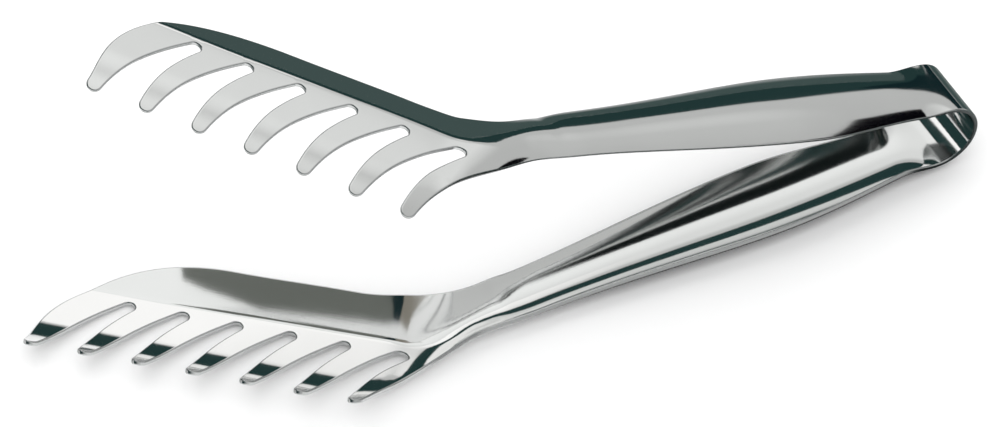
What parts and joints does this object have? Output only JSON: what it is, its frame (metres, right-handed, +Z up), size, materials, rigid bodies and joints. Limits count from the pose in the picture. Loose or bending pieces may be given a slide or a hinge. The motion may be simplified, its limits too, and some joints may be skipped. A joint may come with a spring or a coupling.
{
  "type": "pasta tongs",
  "caption": "Sprung pasta tongs of polished sheet steel, with troughed grips and swept combs of curled tines.",
  "frame": {"origin": "centre of the underside of the bounding box, on the surface that the tongs lie on", "axes": "+X along the lower arm towards the bow, +Y to the side of the combs' back walls, +Z up"},
  "size_m": [0.1978, 0.0546, 0.0758],
  "materials": {
    "polished_steel": "polished"
  },
  "bodies": {
    "bow": {"spring_bow": "polished_steel"},
    "upper_arm": {"upper_handle": "polished_steel", "upper_neck": "polished_steel", "upper_comb": "polished_steel", "upper_tine_1": "polished_steel", "upper_tine_2": "polished_steel", "upper_tine_3": "polished_steel", "upper_tine_4": "polished_steel", "upper_tine_5": "polished_steel", "upper_tine_6": "polished_steel", "upper_tine_7": "polished_steel"},
    "lower_arm": {"lower_handle": "polished_steel", "lower_neck": "polished_steel", "lower_comb": "polished_steel", "lower_tine_1": "polished_steel", "lower_tine_2": "polished_steel", "lower_tine_3": "polished_steel", "lower_tine_4": "polished_steel", "lower_tine_5": "polished_steel", "lower_tine_6": "polished_steel", "lower_tine_7": "polished_steel"}
  },
  "joints": [
    {"name": "upper_squeeze", "type": "hinge", "parent": "bow", "child": "upper_arm", "pos_m": [0.09084, -0.01368, 0.00984], "axis": [0, -1, 0], "range_deg": [0, 9.8], "stiffness_Nm_per_rad": 4, "springref_deg": -1.15},
    {"name": "lower_squeeze", "type": "hinge", "parent": "bow", "child": "lower_arm", "pos_m": [0.09084, -0.01368, 0.00984], "axis": [0, -1, 0], "range_deg": [-9.8, 0], "stiffness_Nm_per_rad": 4, "springref_deg": 1.15}
  ],
  "couplings": [
    {"joint": "lower_squeeze", "follows": "upper_squeeze", "ratio": -1}
  ]
}
